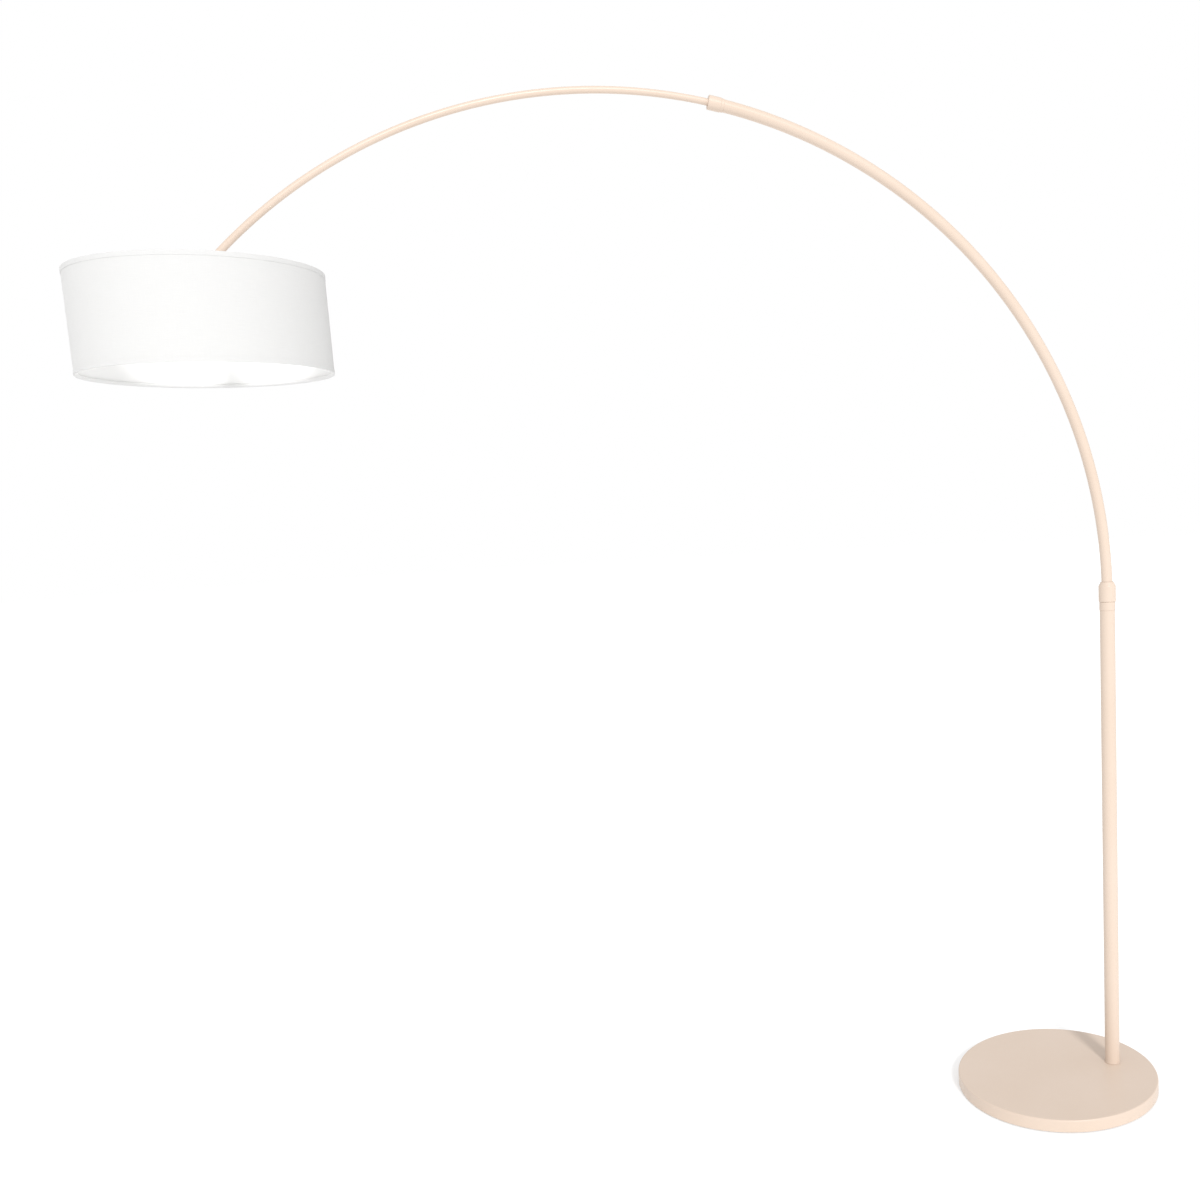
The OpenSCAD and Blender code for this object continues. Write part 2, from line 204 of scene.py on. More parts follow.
class Solid:
    """Collects closed shells and makes one mesh object of them."""

    def __init__(self):
        self.verts, self.faces = [], []

    def grid(self, rings, closed):
        """Faces between rings of vertex numbers; equal numbers in a ring are one point."""
        pairs = list(zip(rings, rings[1:] + rings[:1])) if closed else list(zip(rings, rings[1:]))
        for a, b in pairs:
            for k in range(len(a)):
                j = (k + 1) % len(a)
                corners = list(dict.fromkeys((a[k], a[j], b[j], b[k])))
                if len(corners) > 2:
                    self.faces.append(corners)

    def turned(self, points, place, around=96, shape=None):
        """Turns a closed outline of (radius, distance) points about a line or bent path.
        shape(turn, point) gives how far the surface stands proud of the outline."""
        rings = []
        for point in points:
            centre, side, other = place(point.y)
            first = len(self.verts)
            if point.x < ON_AXIS:
                self.verts.append(centre)
                rings.append([first] * around)
                continue
            for k in range(around):
                turn = FULL_TURN * k / around
                radius = point.x + (shape(turn, point) if shape else 0)
                self.verts.append(centre + radius * (math.cos(turn) * side + math.sin(turn) * other))
            rings.append(list(range(first, first + around)))
        self.grid(rings, closed=True)
        return self

    def wire(self, path, radius, around=16):
        """A round bar with capped ends along a path in a vertical plane."""
        flat = Vector((path[-1].x - path[0].x, path[-1].y - path[0].y, 0)).normalized()
        across = flat.cross(Z)
        rings = []
        for i, here in enumerate(path):
            ahead = (path[min(i + 1, len(path) - 1)] - path[max(i - 1, 0)]).normalized()
            up = across.cross(ahead)
            first = len(self.verts)
            for k in range(around):
                turn = FULL_TURN * k / around
                self.verts.append(here + radius * (math.cos(turn) * across + math.sin(turn) * up))
            rings.append(list(range(first, first + around)))
        self.grid(rings, closed=False)
        self.faces += [rings[0], rings[-1]]
        return self

    def plate(self, points, origin, side, up, across, low, high):
        """An outline in the plane of side and up, made thick along across from low to high."""
        rings = []
        for depth in (low, high):
            first = len(self.verts)
            self.verts += [origin + p.x * side + p.y * up + depth * across for p in points]
            rings.append(list(range(first, first + len(points))))
        self.grid(rings, closed=False)
        self.faces += rings
        return self

    def piece(self, name, crease=CREASE):
        """The mesh object, with smooth shading except across edges sharper than crease."""
        mesh = bpy.data.meshes.new(name)
        mesh.from_pydata(self.verts, [], self.faces)
        tidy_normals(mesh)
        shade(mesh, crease)
        made = bpy.data.objects.new(name, mesh)
        bpy.context.scene.collection.objects.link(made)
        return made


def tidy_normals(mesh):
    """Points all faces outward."""
    work = bmesh.new()
    work.from_mesh(mesh)
    bmesh.ops.recalc_face_normals(work, faces=work.faces)
    work.to_mesh(mesh)
    work.free()


def shade(mesh, crease):
    """Smooth shading, with edges sharper than crease degrees left sharp."""
    mesh.shade_smooth()
    mesh.set_sharp_from_angle(angle=math.radians(crease))


def apply_modifiers(piece):
    """Bakes a piece's modifiers into its mesh."""
    bpy.context.view_layer.update()
    shown = piece.evaluated_get(bpy.context.evaluated_depsgraph_get())
    mesh = bpy.data.meshes.new_from_object(shown)
    piece.modifiers.clear()
    piece.data = mesh


def cut(piece, tool, merge=0.005 * MM):
    """Takes the tool's solid out of the piece, removes the tool, and merges points that meet."""
    boolean = piece.modifiers.new("cut", "BOOLEAN")
    boolean.operation, boolean.solver, boolean.object = "DIFFERENCE", "EXACT", tool
    apply_modifiers(piece)
    bpy.data.objects.remove(tool)
    work = bmesh.new()
    work.from_mesh(piece.data)
    bmesh.ops.remove_doubles(work, verts=work.verts, dist=merge)
    bmesh.ops.dissolve_degenerate(work, edges=work.edges, dist=merge)
    work.to_mesh(piece.data)
    work.free()
    return piece


def soften(piece, width, angle=50):
    """Rounds the piece's edges that are sharper than angle degrees."""
    bevel = piece.modifiers.new("edges", "BEVEL")
    bevel.width, bevel.segments, bevel.angle_limit = width, 3, math.radians(angle)
    apply_modifiers(piece)
    shade(piece.data, SOFT_CREASE)
    return piece


def ring_outline(inner, outer, low, high, fillet, margin=0.4 * MM):
    """The outline of a plain ring with rounded outer edges."""
    corners = [(inner, low), (outer, low, fillet), (outer, high, fillet), (inner, high)]
    return held(rounded(corners), margin)


def half_circle(radius, steps=24):
    """Points over the top of a circle; they start on the right, or on the left if radius is below 0."""
    turns = [math.pi * k / steps for k in range(steps + 1)]
    return [(radius * math.cos(turn), abs(radius) * math.sin(turn)) for turn in turns]


def bezier(start, leave, arrive, end, steps):
    """Points along a cubic curve, without its first one."""
    points = []
    for step in range(1, steps + 1):
        done = step / steps
        left = 1 - done
        points.append(left ** 3 * start + 3 * done * left ** 2 * leave
                      + 3 * done * done * left * arrive + done ** 3 * end)
    return points


# ---- materials ----

class Finish:
    """One procedural material. Its textures follow the object, so they move with the piece.
    The plain color and roughness hold where no texture takes their place."""

    def __init__(self, name, color=(0.8, 0.8, 0.8), roughness=0.5, metallic=0.0):
        self.material = bpy.data.materials.new(name)
        self.material.use_nodes = True
        self.tree = self.material.node_tree
        self.shader = self.tree.nodes["Principled BSDF"]
        self.shader.inputs["Base Color"].default_value = (*color, 1)
        self.shader.inputs["Roughness"].default_value = roughness
        self.shader.inputs["Metallic"].default_value = metallic
        self.place = self.tree.nodes.new("ShaderNodeTexCoord").outputs["Object"]

    def node(self, kind, settings=None, **inputs):
        """Adds a node; inputs are values or other nodes' outputs, by socket name or number."""
        made = self.tree.nodes.new(kind)
        for key, value in (settings or {}).items():
            setattr(made, key, value)
        for key, value in inputs.items():
            socket = made.inputs[int(key[1:])] if key[0] == "_" else made.inputs[key]
            if isinstance(value, bpy.types.NodeSocket):
                self.tree.links.new(value, socket)
            else:
                socket.default_value = value
        return made

    def math(self, operation, a, b=0.0):
        """The result of an operation on a and b, which are values or other nodes' outputs."""
        return self.node("ShaderNodeMath", {"operation": operation}, _0=a, _1=b).outputs[0]

    def noise(self, scale, detail=3.0, stretch=(1, 1, 1), place=None):
        """Noise from 0 to 1; scale is in patches per metre."""
        mapping = self.node("ShaderNodeMapping", Vector=place or self.place, Scale=stretch)
        texture = self.node("ShaderNodeTexNoise", Vector=mapping.outputs[0], Scale=scale,
                            Detail=detail, Roughness=0.55)
        return texture.outputs[0]

    def between(self, value, low, high, start=0.3, end=0.7):
        """Spreads a value that runs from start to end over low to high."""
        node = self.node("ShaderNodeMapRange", Value=value)
        limits = {"From Min": start, "From Max": end, "To Min": low, "To Max": high}
        for name, number in limits.items():
            node.inputs[name].default_value = number
        return node.outputs[0]

    def tint(self, factor, first, second):
        """Makes the base colour vary between two tones."""
        mix = self.tree.nodes.new("ShaderNodeMix")
        mix.data_type = "RGBA"
        self.tree.links.new(factor, mix.inputs["Factor"])
        for number, tone in ((6, first), (7, second)):        # the mix node's colour sockets
            mix.inputs[number].default_value = (*tone, 1)
        self.tree.links.new(mix.outputs[2], self.shader.inputs["Base Color"])

    def rough(self, value):
        """Sets the roughness from a node's output."""
        self.tree.links.new(value, self.shader.inputs["Roughness"])

    def bump(self, height, distance, strength):
        """Raises the surface by up to distance metres, and gives back the changed normal."""
        bump = self.node("ShaderNodeBump", Height=height, Distance=distance, Strength=strength)
        self.tree.links.new(bump.outputs[0], self.shader.inputs["Normal"])
        return bump.outputs[0]


def powder_coat():
    """Cream satin powder coat: a fine orange peel, and a faint drift in tone and gloss."""
    finish = Finish("cream_powder_coat", (0.65, 0.528, 0.435), 0.38)
    drift = finish.between(finish.noise(5), 0, 1)
    finish.tint(drift, (0.64, 0.517, 0.422), (0.66, 0.539, 0.448))
    finish.rough(finish.between(finish.noise(60), 0.33, 0.42))
    fine = finish.math("MULTIPLY", finish.noise(1700, 2), 0.4)
    peel = finish.math("ADD", finish.noise(520, 2), fine)
    finish.bump(peel, 0.02 * MM, 0.6)
    return finish.material


def cast_iron():
    """Bare dark casting with a grainy skin."""
    finish = Finish("cast_iron", (0.05, 0.047, 0.044), 0.75, 0.3)
    finish.tint(finish.between(finish.noise(35, 5), 0, 1), (0.035, 0.033, 0.031), (0.08, 0.07, 0.062))
    finish.bump(finish.noise(420, 5), 0.35 * MM, 0.8)
    return finish.material


def foam_pad():
    """Black closed-cell foam."""
    finish = Finish("foam_pad", (0.02, 0.02, 0.02), 0.9)
    finish.tint(finish.between(finish.noise(120), 0, 1), (0.014, 0.014, 0.014), (0.03, 0.029, 0.028))
    cells = finish.node("ShaderNodeTexVoronoi", Vector=finish.place, Scale=900.0)
    finish.bump(cells.outputs[0], 0.2 * MM, 0.8)
    return finish.material


def white_plastic():
    """Moulded plastic with a fine spark-eroded grain."""
    finish = Finish("white_plastic", (0.80, 0.79, 0.755), 0.4)
    finish.tint(finish.between(finish.noise(25), 0, 1), (0.79, 0.777, 0.74), (0.815, 0.805, 0.775))
    finish.rough(finish.between(finish.noise(300), 0.34, 0.46))
    finish.bump(finish.noise(2600, 2), 0.02 * MM, 0.6)
    return finish.material


def glazed_ceramic():
    """White glaze over a slightly uneven body."""
    finish = Finish("glazed_ceramic", (0.85, 0.84, 0.80), 0.15)
    finish.tint(finish.between(finish.noise(90, 4), 0, 1), (0.83, 0.815, 0.77), (0.88, 0.87, 0.835))
    finish.bump(finish.noise(350, 2), 0.05 * MM, 0.4)
    return finish.material


def zinc_steel():
    """Bright zinc plate with a faint blue cast and fine drawing lines."""
    finish = Finish("zinc_plated_steel", (0.62, 0.63, 0.65), 0.34, 1.0)
    finish.tint(finish.between(finish.noise(70, 4), 0, 1), (0.56, 0.575, 0.60), (0.68, 0.685, 0.69))
    lines = finish.noise(500, 3, stretch=(1, 1, 6))
    finish.rough(finish.between(lines, 0.26, 0.42))
    finish.bump(lines, 0.012 * MM, 0.5)
    return finish.material


def brass():
    """Plain pressed brass, uneven in tone and gloss."""
    finish = Finish("pressed_brass", (0.72, 0.50, 0.22), 0.3, 1.0)
    finish.tint(finish.between(finish.noise(110, 4), 0, 1), (0.66, 0.44, 0.18), (0.78, 0.56, 0.27))
    finish.rough(finish.between(finish.noise(240), 0.22, 0.38))
    return finish.material


def lead_sheath():
    """The dull white sheath of the lead inside the lamp."""
    finish = Finish("lead_sheath", (0.78, 0.77, 0.74), 0.5)
    finish.tint(finish.between(finish.noise(60), 0, 1), (0.76, 0.75, 0.715), (0.80, 0.79, 0.765))
    finish.bump(finish.noise(900, 2), 0.03 * MM, 0.5)
    return finish.material


def opal_glass():
    """Milk-white glass with a glossy coat."""
    finish = Finish("opal_glass", (0.93, 0.915, 0.885), 0.12)
    finish.tint(finish.between(finish.noise(30, 2), 0, 1), (0.92, 0.905, 0.87), (0.945, 0.93, 0.905))
    finish.rough(finish.between(finish.noise(80), 0.09, 0.16))
    finish.shader.inputs["Coat Weight"].default_value = 0.4
    finish.shader.inputs["Coat Roughness"].default_value = 0.04
    return finish.material


def let_light_through(finish, amount, normal=None):
    """Mixes the shader with light that passes through the cloth or film."""
    through = finish.node("ShaderNodeBsdfTranslucent", Color=(0.93, 0.92, 0.90, 1))
    if normal:
        finish.tree.links.new(normal, through.inputs["Normal"])
    mix = finish.tree.nodes.new("ShaderNodeMixShader")
    mix.inputs[0].default_value = amount
    finish.tree.links.new(finish.shader.outputs[0], mix.inputs[1])
    finish.tree.links.new(through.outputs[0], mix.inputs[2])
    output = finish.tree.nodes["Material Output"]
    finish.tree.links.new(mix.outputs[0], output.inputs["Surface"])


def woven_fabric():
    """White plain weave laid round the drum: crossing threads, uneven here and there."""
    finish = Finish("woven_fabric", (0.77, 0.77, 0.765), 0.85)
    pitch = 0.62 * MM
    lower_centre = (PIVOT.x, PIVOT.y, SHADE_LOW)
    local = finish.node("ShaderNodeVectorMath", {"operation": "SUBTRACT"},
                        _0=finish.place, _1=lower_centre)
    split = finish.node("ShaderNodeSeparateXYZ", Vector=local.outputs[0])
    turn = finish.math("ARCTAN2", split.outputs[1], split.outputs[0])
    round_drum = finish.math("MULTIPLY", turn, SHADE_R)
    joined = finish.node("ShaderNodeCombineXYZ", X=round_drum, Y=split.outputs[2])
    cloth_place = joined.outputs[0]
    wander = finish.between(finish.noise(45, 2, place=cloth_place), -0.25, 0.25)
    weft_slub = finish.noise(70, 3, stretch=(0.6, 22, 1), place=cloth_place)
    warp_slub = finish.noise(70, 3, stretch=(22, 0.6, 1), place=cloth_place)
    along = finish.math("ADD", finish.math("MULTIPLY", round_drum, math.pi / pitch), wander)
    upward = finish.math("ADD", finish.math("MULTIPLY", split.outputs[2], math.pi / pitch), wander)
    crossing = finish.math("MULTIPLY", finish.math("SINE", along), finish.math("SINE", upward))
    slubs = finish.math("ADD", weft_slub, finish.math("MULTIPLY", warp_slub, 0.7))
    height = finish.math("ADD", finish.math("MULTIPLY", crossing, 0.35), slubs)
    finish.tint(finish.between(slubs, 0, 1, 0.55, 1.15), (0.745, 0.743, 0.737), (0.795, 0.795, 0.79))
    normal = finish.bump(height, 0.14 * MM, 0.55)
    finish.shader.inputs["Sheen Weight"].default_value = 0.15
    finish.shader.inputs["Sheen Roughness"].default_value = 0.5
    let_light_through(finish, 0.22, normal)
    return finish.material


def shade_film():
    """The smooth white film that the fabric is laminated on."""
    finish = Finish("shade_film", (0.87, 0.87, 0.865), 0.33)
    finish.tint(finish.between(finish.noise(12), 0, 1), (0.86, 0.858, 0.852), (0.88, 0.88, 0.875))
    finish.rough(finish.between(finish.noise(150), 0.28, 0.38))
    finish.bump(finish.noise(900, 2), 0.03 * MM, 0.4)
    let_light_through(finish, 0.2)
    return finish.material


FINISHES = {
    "cream_metal": powder_coat(), "cast_weight": cast_iron(), "pad": foam_pad(),
    "white_plastic": white_plastic(), "ceramic": glazed_ceramic(), "zinc_steel": zinc_steel(),
    "brass": brass(), "lead_sheath": lead_sheath(), "bulb_glass": opal_glass(),
    "shade_fabric": woven_fabric(), "shade_liner": shade_film(),
}


def dress(thing, slot):
    """Gives an object the finish of a material slot of the record."""
    thing.data.materials.clear()
    thing.data.materials.append(FINISHES[slot])


def dress_cad_nodes():
    """Materials and smooth shading for every CAD node; the replaced ones are hidden later."""
    slots = {part["node"]: part["material_slot"] for part in frame["record"]["subparts"]}
    for name, node in frame["nodes"].items():
        dress(node, slots[name])
        shade(node.data, CREASE)


def fit(piece, body, slot, *nodes):
    """Puts a finished piece on its body, in place of these CAD nodes."""
    dress(piece, slot)
    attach(piece, body)
    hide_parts(*nodes)
    return piece


# ---- base and pole ----

def make_base():
    """The spun steel cover, open below and with a hole for the gland, and the foam pad."""
    inner, ceiling = BASE_R - COVER, BASE_TOP - COVER
    outline = rounded([
        (0, BASE_TOP), (BASE_R, BASE_TOP, 3 * MM), (BASE_R, BASE_LOW, 0.7 * MM),
        (inner, BASE_LOW, 0.5 * MM), (inner, ceiling, 1.5 * MM), (0, ceiling)], steps=8)
    shell = Solid().turned(held(outline), upright(0), around=256).piece("base_shell")
    hole_r, hole_start, hole_depth = 6 * MM, inner - 5 * MM, 12 * MM
    hole = rounded([(0, 0), (hole_r, 0), (hole_r, hole_depth), (0, hole_depth)])
    hole_line = on_line(Vector((hole_start, 0, GLAND_Z)), X, Y)
    cut(shell, Solid().turned(hole, hole_line, around=48).piece("hole"))
    shade(shell.data, CREASE)
    fit(shell, "stand", "cream_metal", "base_cover")

    pad_r = BASE_R - 5 * MM
    pad = held(rounded([(0, 0), (pad_r, 0, 0.5 * MM), (pad_r, BASE_LOW), (0, BASE_LOW)]))
    foam = Solid().turned(pad, upright(0), around=192).piece("base_foam_pad")
    fit(foam, "stand", "pad", "base_pad")


def make_gland():
    """The grommet where a mains lead would enter: a flange with a rounded mouth, and a sleeve."""
    bore, sleeve, flange = 3.6 * MM, 5.9 * MM, 7.5 * MM
    start, shoulder, end = GLAND_LOW.x, BASE_R + 2 * MM, GLAND_HIGH.x
    outline = held(rounded([
        (bore, start), (sleeve, start, 0.8 * MM), (sleeve, BASE_R), (flange, BASE_R),
        (flange, shoulder, 0.5 * MM), (flange - 1 * MM, end, 0.6 * MM), (bore, end, 0.9 * MM)]),
        margin=0.2 * MM)
    axis = on_line(Vector((0, 0, GLAND_Z)), X, Y)
    gland = Solid().turned(outline, axis, around=64).piece("inlet_gland")
    fit(gland, "stand", "white_plastic", "cable_gland")


def make_pole():
    """The foot ring, the tube, and at its top the end piece with the collar's thread."""
    low, high, inner = POLE_LOW.z, POLE_HIGH.z, POLE_R - WALL
    stud_hole, foot_r = 6.3 * MM, POLE_R + 1 * MM
    ring = ring_outline(stud_hole, foot_r, BASE_TOP, low, 0.9 * MM)
    foot = Solid().turned(ring, upright(POLE_X)).piece("foot_ring")
    fit(foot, "stand", "cream_metal", "pole_foot_ring")

    wall = held(rounded([
        (POLE_R, low, 0.4 * MM), (POLE_R, high, 0.4 * MM), (inner, high), (inner, low)]))
    tube = Solid().turned(wall, upright(POLE_X)).piece("pole")
    fit(tube, "stand", "cream_metal", "pole_tube")

    skirt, ferrule, thread = inner - 0.02 * MM, POLE_R + 0.8 * MM, 16.5 * MM
    bore, seat = TUBE_R + 0.5 * MM, 14.4 * MM
    skirt_low, seat_low = high - 40 * MM, COLLAR_LOW.z - 12 * MM
    neck, top = COLLAR_LOW.z - 0.3 * MM, COLLAR_LOW.z + 16 * MM
    outline = held(rounded([
        (skirt, skirt_low), (skirt, high), (ferrule, high, 0.5 * MM), (ferrule, neck, 0.6 * MM),
        (thread, neck), (thread, top, 0.5 * MM), (seat, top), (seat, seat_low), (bore, seat_low),
        (bore, skirt_low)]), margin=0.3 * MM)
    end = Solid().turned(outline, upright(POLE_X)).piece("pole_end")
    fit(end, "stand", "cream_metal", "pole_ferrule")


def make_pole_collar():
    """The turning collar: a cylinder with a coned, rounded nose round the arm's tube."""
    low, high = COLLAR_LOW.z, COLLAR_HIGH.z
    thread, chamber, mouth, nose = 16.56 * MM, 16.2 * MM, TUBE_R + 0.8 * MM, TUBE_R + 2.2 * MM
    thread_top, chamber_top = low + 16.9 * MM, low + 20.4 * MM
    side_top, shoulder = low + 36.5 * MM, low + 38.8 * MM
    outline = held(rounded([
        (thread, low), (COLLAR_R, low, 0.9 * MM), (COLLAR_R, side_top, 2.5 * MM),
        (COLLAR_R - 1.4 * MM, shoulder, 1.5 * MM), (nose, high - 0.2 * MM, 0.7 * MM),
        (mouth, high, 0.4 * MM), (mouth, chamber_top), (chamber, chamber_top),
        (chamber, thread_top), (thread, thread_top)]), margin=0.3 * MM)
    collar = Solid().turned(outline, upright(POLE_X)).piece("pole_collar_nut")
    fit(collar, "pole_collar", "cream_metal", "pole_nut")


# ---- arm and rod ----

def bent_tube(outer, start, end, around):
    """A tube along the arm's centre line, with broken edges at its ends."""
    edge, inner = 0.4 * MM, outer - WALL
    outline = rounded([(outer, start, edge), (outer, end, edge), (inner, end), (inner, start)], steps=2)
    return Solid().turned(held(outline, longest=12 * MM), along_arm, around)


def make_arm():
    """The bent tube with its spigot, and at its end the piece with the collar's thread."""
    arm = bent_tube(TUBE_R, SPIGOT_LOW - ARC_CENTRE.z, TUBE_END, around=64)
    fit(arm.piece("arm_tube"), "arm", "cream_metal", "arc_tube")

    bore, skirt, sleeve = ROD_R + 0.6 * MM, TUBE_R - WALL - 0.1 * MM, TUBE_R + 0.9 * MM
    skirt_start, sleeve_end = TUBE_END - 14 * MM, TUBE_END + 7.7 * MM
    end = Solid().turned(held(rounded([
        (bore, skirt_start), (skirt, skirt_start, 0.5 * MM), (skirt, TUBE_END),
        (sleeve, TUBE_END, 0.5 * MM), (sleeve, sleeve_end, 0.5 * MM), (bore, sleeve_end)]),
        margin=0.3 * MM), along_arm, around=64)

    thread, seat = 12 * MM, 9.6 * MM
    start, seat_start, tip = -12.6 * MM, -12 * MM, -2 * MM
    end.turned(held(rounded([
        (bore, start), (thread, start), (thread, tip, 0.4 * MM), (seat, tip),
        (seat, seat_start), (bore, seat_start)]), margin=0.2 * MM), on_collar(), around=64)
    fit(end.piece("arm_end"), "arm", "cream_metal", "arc_ferrule")


def on_collar():
    """The arm collar's own axis, along the arm, with distance 0 at the collar's joint."""
    out = Vector((math.cos(ARM_COLLAR_TURN), 0, math.sin(ARM_COLLAR_TURN)))
    return on_line(ARM_COLLAR, Y.cross(out).normalized(), out)


def make_arm_collar():
    """The same kind of collar as the pole's, smaller, round the rod."""
    thread, chamber, mouth, nose = 12.06 * MM, 11.4 * MM, ROD_R + 0.8 * MM, ROD_R + 2.2 * MM
    low, thread_top, chamber_top, high = -12 * MM, -1.4 * MM, 1.9 * MM, 21 * MM
    side_top, shoulder = 13.5 * MM, 15.4 * MM
    outline = held(rounded([
        (thread, low), (ARM_COLLAR_R, low, 0.8 * MM), (ARM_COLLAR_R, side_top, 2 * MM),
        (ARM_COLLAR_R - 1.2 * MM, shoulder, 1.2 * MM), (nose, high - 0.2 * MM, 0.7 * MM),
        (mouth, high, 0.3 * MM), (mouth, chamber_top), (chamber, chamber_top),
        (chamber, thread_top), (thread, thread_top)]), margin=0.25 * MM)
    collar = Solid().turned(outline, on_collar()).piece("arm_collar_nut")
    fit(collar, "arm_collar", "cream_metal", "arc_nut")


def make_rod():
    """The rod, and its forked end: two cheeks on a socket that takes the rod."""
    rod_inset = 22 * MM                           # the rod ends this far before the pivot
    rod = bent_tube(ROD_R, ROD_START, TIP_TURN * ARC_R - rod_inset, around=48)
    fit(rod.piece("rod"), "rod", "cream_metal", "rod_tube")

    out = Vector((math.cos(TIP_TURN), 0, math.sin(TIP_TURN)))
    ahead = Vector((-math.sin(TIP_TURN), 0, math.cos(TIP_TURN)))
    half_width, root, cheek_out = 8 * MM, -17 * MM, 8.5 * MM
    tongue = rounded([(-half_width, root, 2 * MM), (half_width, root, 2 * MM), *half_circle(half_width)])
    fork = Solid().plate(tongue, PIVOT, out, ahead, Y, -cheek_out, cheek_out).piece("fork")
    gap_half, gap_root, gap_end, cheek_in = 12 * MM, -9.5 * MM, 20 * MM, 5 * MM
    gap = rounded([
        (-gap_half, gap_root), (gap_half, gap_root), (gap_half, gap_end), (-gap_half, gap_end)])
    cut(fork, Solid().plate(gap, PIVOT, out, ahead, Y, -cheek_in, cheek_in).piece("gap"))
    soften(fork, 0.6 * MM)

    bore, socket_r, neck_r = ROD_R + 0.05 * MM, 9.5 * MM, 8.4 * MM
    mouth, shoulder, end = -40 * MM, -18 * MM, -14 * MM
    outline = held(rounded([
        (bore, mouth), (socket_r, mouth, 0.8 * MM), (socket_r, shoulder, 1 * MM),
        (neck_r, end, 0.5 * MM), (0, end), (0, -rod_inset), (bore, -rod_inset)]), margin=0.3 * MM)
    socket = Solid().turned(outline, on_line(PIVOT, ahead, out), around=64).piece("socket")
    fit(join(fork, socket, "rod_fork"), "rod", "cream_metal", "rod_end")


def join(piece, other, name):
    """Adds the other piece's mesh to this one and renames it."""
    work = bmesh.new()
    work.from_mesh(piece.data)
    work.from_mesh(other.data)
    work.to_mesh(piece.data)
    work.free()
    bpy.data.objects.remove(other)
    piece.name = piece.data.name = name
    shade(piece.data, SOFT_CREASE)
    return piece


# ---- lampholder and bulb ----

def hanging(millimetres):
    """The height this many millimetres below the pivot."""
    return PIVOT.z - millimetres * MM


def turned_head(name, slot, node, corners, around=96, margin=0.3 * MM, shape=None):
    """A turned piece on the shade's axis; corners are (radius, distance below the pivot) in mm."""
    placed = [(radius * MM, hanging(down), sum(fillet) * MM) for radius, down, *fillet in corners]
    solid = Solid().turned(held(rounded(placed), margin), upright(PIVOT.x), around, shape)
    return fit(solid.piece(name), "head", slot, node)


def make_hanger():
    """The lug in the fork, with the flange and threaded nipple that carry the holder."""
    half_width, root, half_thick = 7.5 * MM, -17 * MM, 4 * MM
    tongue = rounded([(half_width, root), (-half_width, root), *half_circle(-half_width)])
    lug = Solid().plate(tongue, PIVOT, X, Z, Y, -half_thick, half_thick).piece("lug")
    screw_hole, reach = 2.55 * MM, 20 * MM
    hole = rounded([(0, -reach), (screw_hole, -reach), (screw_hole, reach), (0, reach)])
    cut(lug, Solid().turned(hole, on_line(PIVOT, Y, X), around=32).piece("hole"))
    soften(lug, 0.5 * MM)

    bore, flange_r, nipple_r = 3.1 * MM, 9 * MM, 4.9 * MM
    top, shoulder, end = hanging(16), hanging(HOLDER_TOP), hanging(25)
    flange = Solid().turned(held(rounded([
        (bore, top), (flange_r, top, 0.8 * MM), (flange_r, shoulder, 0.3 * MM),
        (nipple_r, shoulder), (nipple_r, end, 0.4 * MM), (bore, end)]), margin=0.25 * MM),
        upright(PIVOT.x), around=64).piece("flange")
    fit(join(lug, flange, "holder_hanger"), "head", "cream_metal", "knuckle_lug")


def make_holder():
    """The holder's cap and threaded sleeve, and the ring nut that clamps the shade's hub."""
    hole, inner, groove, outer = 5, 18, 19.4, 20
    ceiling, joint = 25, 38                       # the cap's inside, and where the sleeve starts
    turned_head("holder_top", "white_plastic", "holder_cap", [
        (hole, HOLDER_TOP, 0.3), (12, HOLDER_TOP, 2), (16.4, 21, 3), (19.2, 24.4, 3), (outer, 28.5, 2),
        (outer, 34.6, 0.3), (groove, 35, 0.2), (groove, 35.8, 0.2), (outer, 36.2, 0.3),
        (outer, joint, 0.4), (inner, joint), (inner, ceiling, 1), (hole, ceiling)])

    crest, root, pitch, first_thread = 19.3, 18.7, 2.5, 57.5
    thread = []
    for turn in range(10):
        down = first_thread + pitch * turn
        thread += [(crest, down, 0.25), (crest, down + 1.0, 0.25)]
        thread += [(root, down + 1.5, 0.25), (root, down + 2.1, 0.25)]
    bore, rebate, stop_r = 13.8, 16, 26
    rebate_end, stop_top, stop_low, end = 47, 50, 54, 84
    turned_head("holder_sleeve", "white_plastic", "holder_body", [
        (rebate, joint), (crest, joint, 0.4), (crest, stop_top), (stop_r, stop_top, 0.6),
        (stop_r, stop_low, 0.6), (crest, stop_low), *thread, (crest, 82.6), (crest, end, 0.6),
        (bore, end, 0.6), (bore, rebate_end), (rebate, rebate_end)], margin=0.1 * MM)

    ring_bore, flange, skirt = 19.4, 27, 23
    flange_low, ring_low = 60, 66
    grips, grip_depth = 30, 0.35 * MM

    def grip(turn, point):
        """Grooves round the ring's skirt, for the fingers."""
        is_grip = point.x > (skirt - 1) * MM and point.y < hanging(flange_low + 0.2)
        return grip_depth * math.cos(grips * turn) if is_grip else 0

    turned_head("shade_ring", "white_plastic", "shade_ring_nut", [
        (ring_bore, HUB_LOW), (flange, HUB_LOW, 0.8), (flange, flange_low, 0.8), (skirt, flange_low),
        (skirt, ring_low, 0.8), (ring_bore, ring_low)], around=360, shape=grip)


